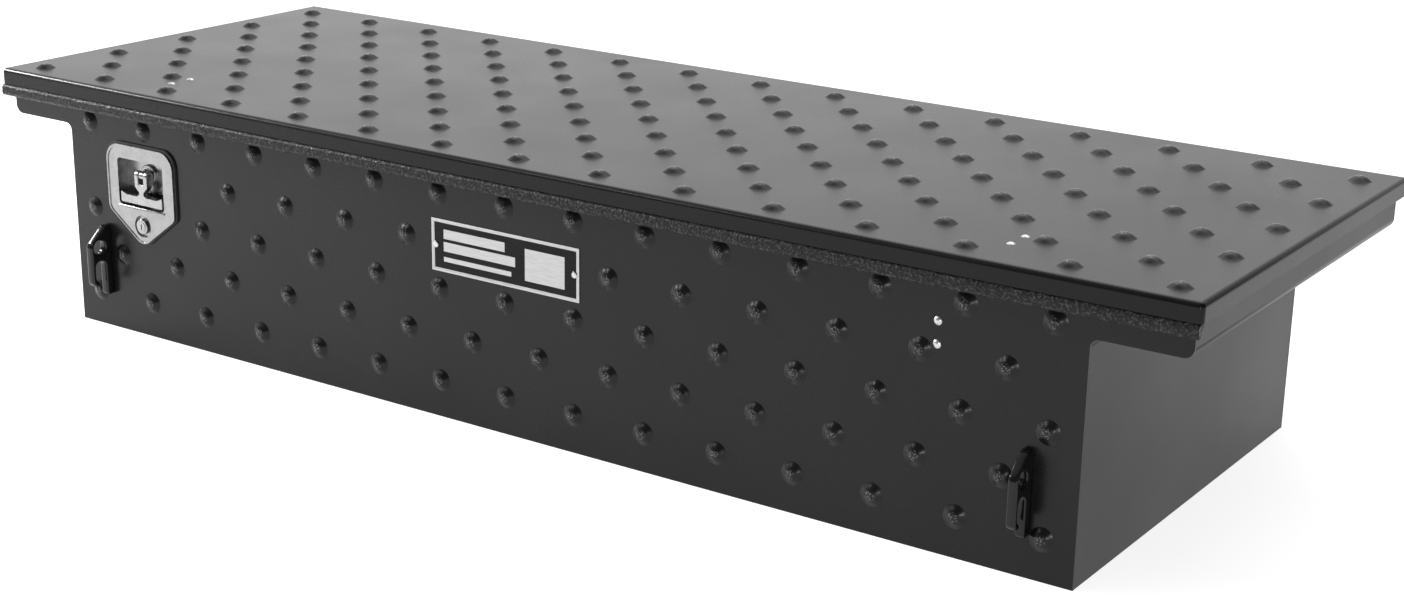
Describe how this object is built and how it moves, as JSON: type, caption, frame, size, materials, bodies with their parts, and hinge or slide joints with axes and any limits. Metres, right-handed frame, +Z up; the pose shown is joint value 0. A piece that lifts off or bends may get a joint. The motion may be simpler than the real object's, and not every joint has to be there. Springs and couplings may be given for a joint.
{
  "type": "truck tool box",
  "caption": "Crossover tool box for a pickup bed: T-shaped tub with ears that rest on the bed rails, hinged lid with raised bumps, folding T-handle latch and tie-down cleats.",
  "frame": {"origin": "middle of the tub's underside, on the surface it stands on", "axes": "+X along the box to its right end seen from the front, +Y from the front to the hinge at the back, +Z up"},
  "size_m": [1.778, 0.6485, 0.351],
  "materials": {
    "lid_powder_coat": "black powder coat, slight sheen",
    "panel_powder_coat": "black powder coat, satin",
    "black_powder_coat": "black powder coat, fine texture",
    "rough_rubber": "rough black rubber",
    "seal_rubber": "smooth black rubber",
    "hinge_steel": "black painted steel",
    "zinc_steel": "zinc plated",
    "rivet_aluminium": "plain",
    "latch_stainless": "pressed stainless steel, satin",
    "latch_cast": "cast, plated, bright",
    "lock_chrome": "plated",
    "cleat_enamel": "gloss black coat",
    "name_plate": "brushed with dark field",
    "strut_black": "black paint",
    "strut_chrome": "polished"
  },
  "bodies": {
    "tub": {"cleat_left": "cleat_enamel", "cleat_right": "cleat_enamel", "cleat_screws": "zinc_steel", "clevis_pin": "latch_cast", "end_panel_left": "black_powder_coat", "end_panel_right": "black_powder_coat", "front_panel": "panel_powder_coat", "hinge_leaf_tub": "hinge_steel", "hinge_pin": "zinc_steel", "hinge_rivets": "rivet_aluminium", "latch_bearing_boss": "latch_stainless", "latch_dish": "latch_stainless", "latch_gasket": "seal_rubber", "lock_cylinder": "lock_chrome", "name_plate": "name_plate", "name_plate_rivets": "rivet_aluminium", "panel_rivets": "rivet_aluminium", "rear_panel": "black_powder_coat", "rim_seal": "seal_rubber", "second_latch_bracket": "zinc_steel", "second_pivot_clip": "zinc_steel", "second_pivot_pin": "zinc_steel", "spindle_head": "latch_cast", "strut_lower_bracket_left": "zinc_steel", "strut_lower_bracket_right": "zinc_steel", "tub_floor": "black_powder_coat"},
    "lid": {"lid_skin": "lid_powder_coat", "lid_stiffener": "black_powder_coat", "lid_front_seal": "rough_rubber", "striker_left": "zinc_steel", "striker_right": "zinc_steel", "striker_rivets": "rivet_aluminium", "hinge_leaf_lid": "hinge_steel", "strut_upper_bracket_left": "zinc_steel", "strut_upper_bracket_right": "zinc_steel"},
    "handle": {"latch_handle": "latch_cast"},
    "key": {"lock_plug": "lock_chrome", "lock_cam": "zinc_steel"},
    "left_hook": {"latch_spindle": "zinc_steel", "spindle_nut": "zinc_steel", "hook_left": "zinc_steel"},
    "right_hook": {"hook_right": "zinc_steel"},
    "link": {"link_rod": "zinc_steel"},
    "strut_tube_body_left": {"strut_lower_eye_left": "strut_black", "strut_tube_left": "strut_black"},
    "strut_rod_body_left": {"strut_rod_left": "strut_chrome", "strut_upper_eye_left": "strut_black"},
    "strut_tube_body_right": {"strut_lower_eye_right": "strut_black", "strut_tube_right": "strut_black"},
    "strut_rod_body_right": {"strut_rod_right": "strut_chrome", "strut_upper_eye_right": "strut_black"}
  },
  "joints": [
    {"name": "lid_hinge", "type": "hinge", "parent": "tub", "child": "lid", "pos_m": [0, 0.311, 0.318], "axis": [-1, 0, 0], "range_deg": [0, 70]},
    {"name": "handle_fold", "type": "hinge", "parent": "tub", "child": "handle", "pos_m": [-0.629, -0.296, 0.2275], "axis": [-1, 0, 0], "range_deg": [0, 90]},
    {"name": "key_turn", "type": "hinge", "parent": "tub", "child": "key", "pos_m": [-0.629, -0.28, 0.158], "axis": [0, 1, 0], "range_deg": [0, 90]},
    {"name": "left_hook_swing", "type": "hinge", "parent": "tub", "child": "left_hook", "pos_m": [-0.629, -0.2595, 0.2275], "axis": [0, 1, 0], "range_deg": [0, 41]},
    {"name": "right_hook_swing", "type": "hinge", "parent": "tub", "child": "right_hook", "pos_m": [0.641, -0.2595, 0.2275], "axis": [0, 1, 0], "range_deg": [0, 41]},
    {"name": "link_rod_turn", "type": "hinge", "parent": "left_hook", "child": "link", "pos_m": [-0.61132, -0.2595, 0.20982], "axis": [0, 1, 0], "range_deg": [-41, 0]},
    {"name": "strut_turn_left", "type": "hinge", "parent": "tub", "child": "strut_tube_body_left", "pos_m": [-0.742, 0.285, 0.243], "axis": [-1, 0, 0], "range_deg": [0, 60.1]},
    {"name": "strut_slide_left", "type": "slide", "parent": "strut_tube_body_left", "child": "strut_rod_body_left", "axis": [0, -0.9487, 0.3162], "range_m": [0, 0.07977]},
    {"name": "strut_turn_right", "type": "hinge", "parent": "tub", "child": "strut_tube_body_right", "pos_m": [0.742, 0.285, 0.243], "axis": [-1, 0, 0], "range_deg": [0, 60.1]},
    {"name": "strut_slide_right", "type": "slide", "parent": "strut_tube_body_right", "child": "strut_rod_body_right", "axis": [0, -0.9487, 0.3162], "range_m": [0, 0.07977]}
  ],
  "couplings": [
    {"joint": "right_hook_swing", "follows": "left_hook_swing", "ratio": 1},
    {"joint": "link_rod_turn", "follows": "left_hook_swing", "ratio": -1},
    {"joint": "strut_turn_left", "follows": "lid_hinge", "ratio": 0.85823},
    {"joint": "strut_slide_left", "follows": "lid_hinge", "m_per_rad": 0.065209},
    {"joint": "strut_turn_right", "follows": "lid_hinge", "ratio": 0.85823},
    {"joint": "strut_slide_right", "follows": "lid_hinge", "m_per_rad": 0.065209}
  ]
}
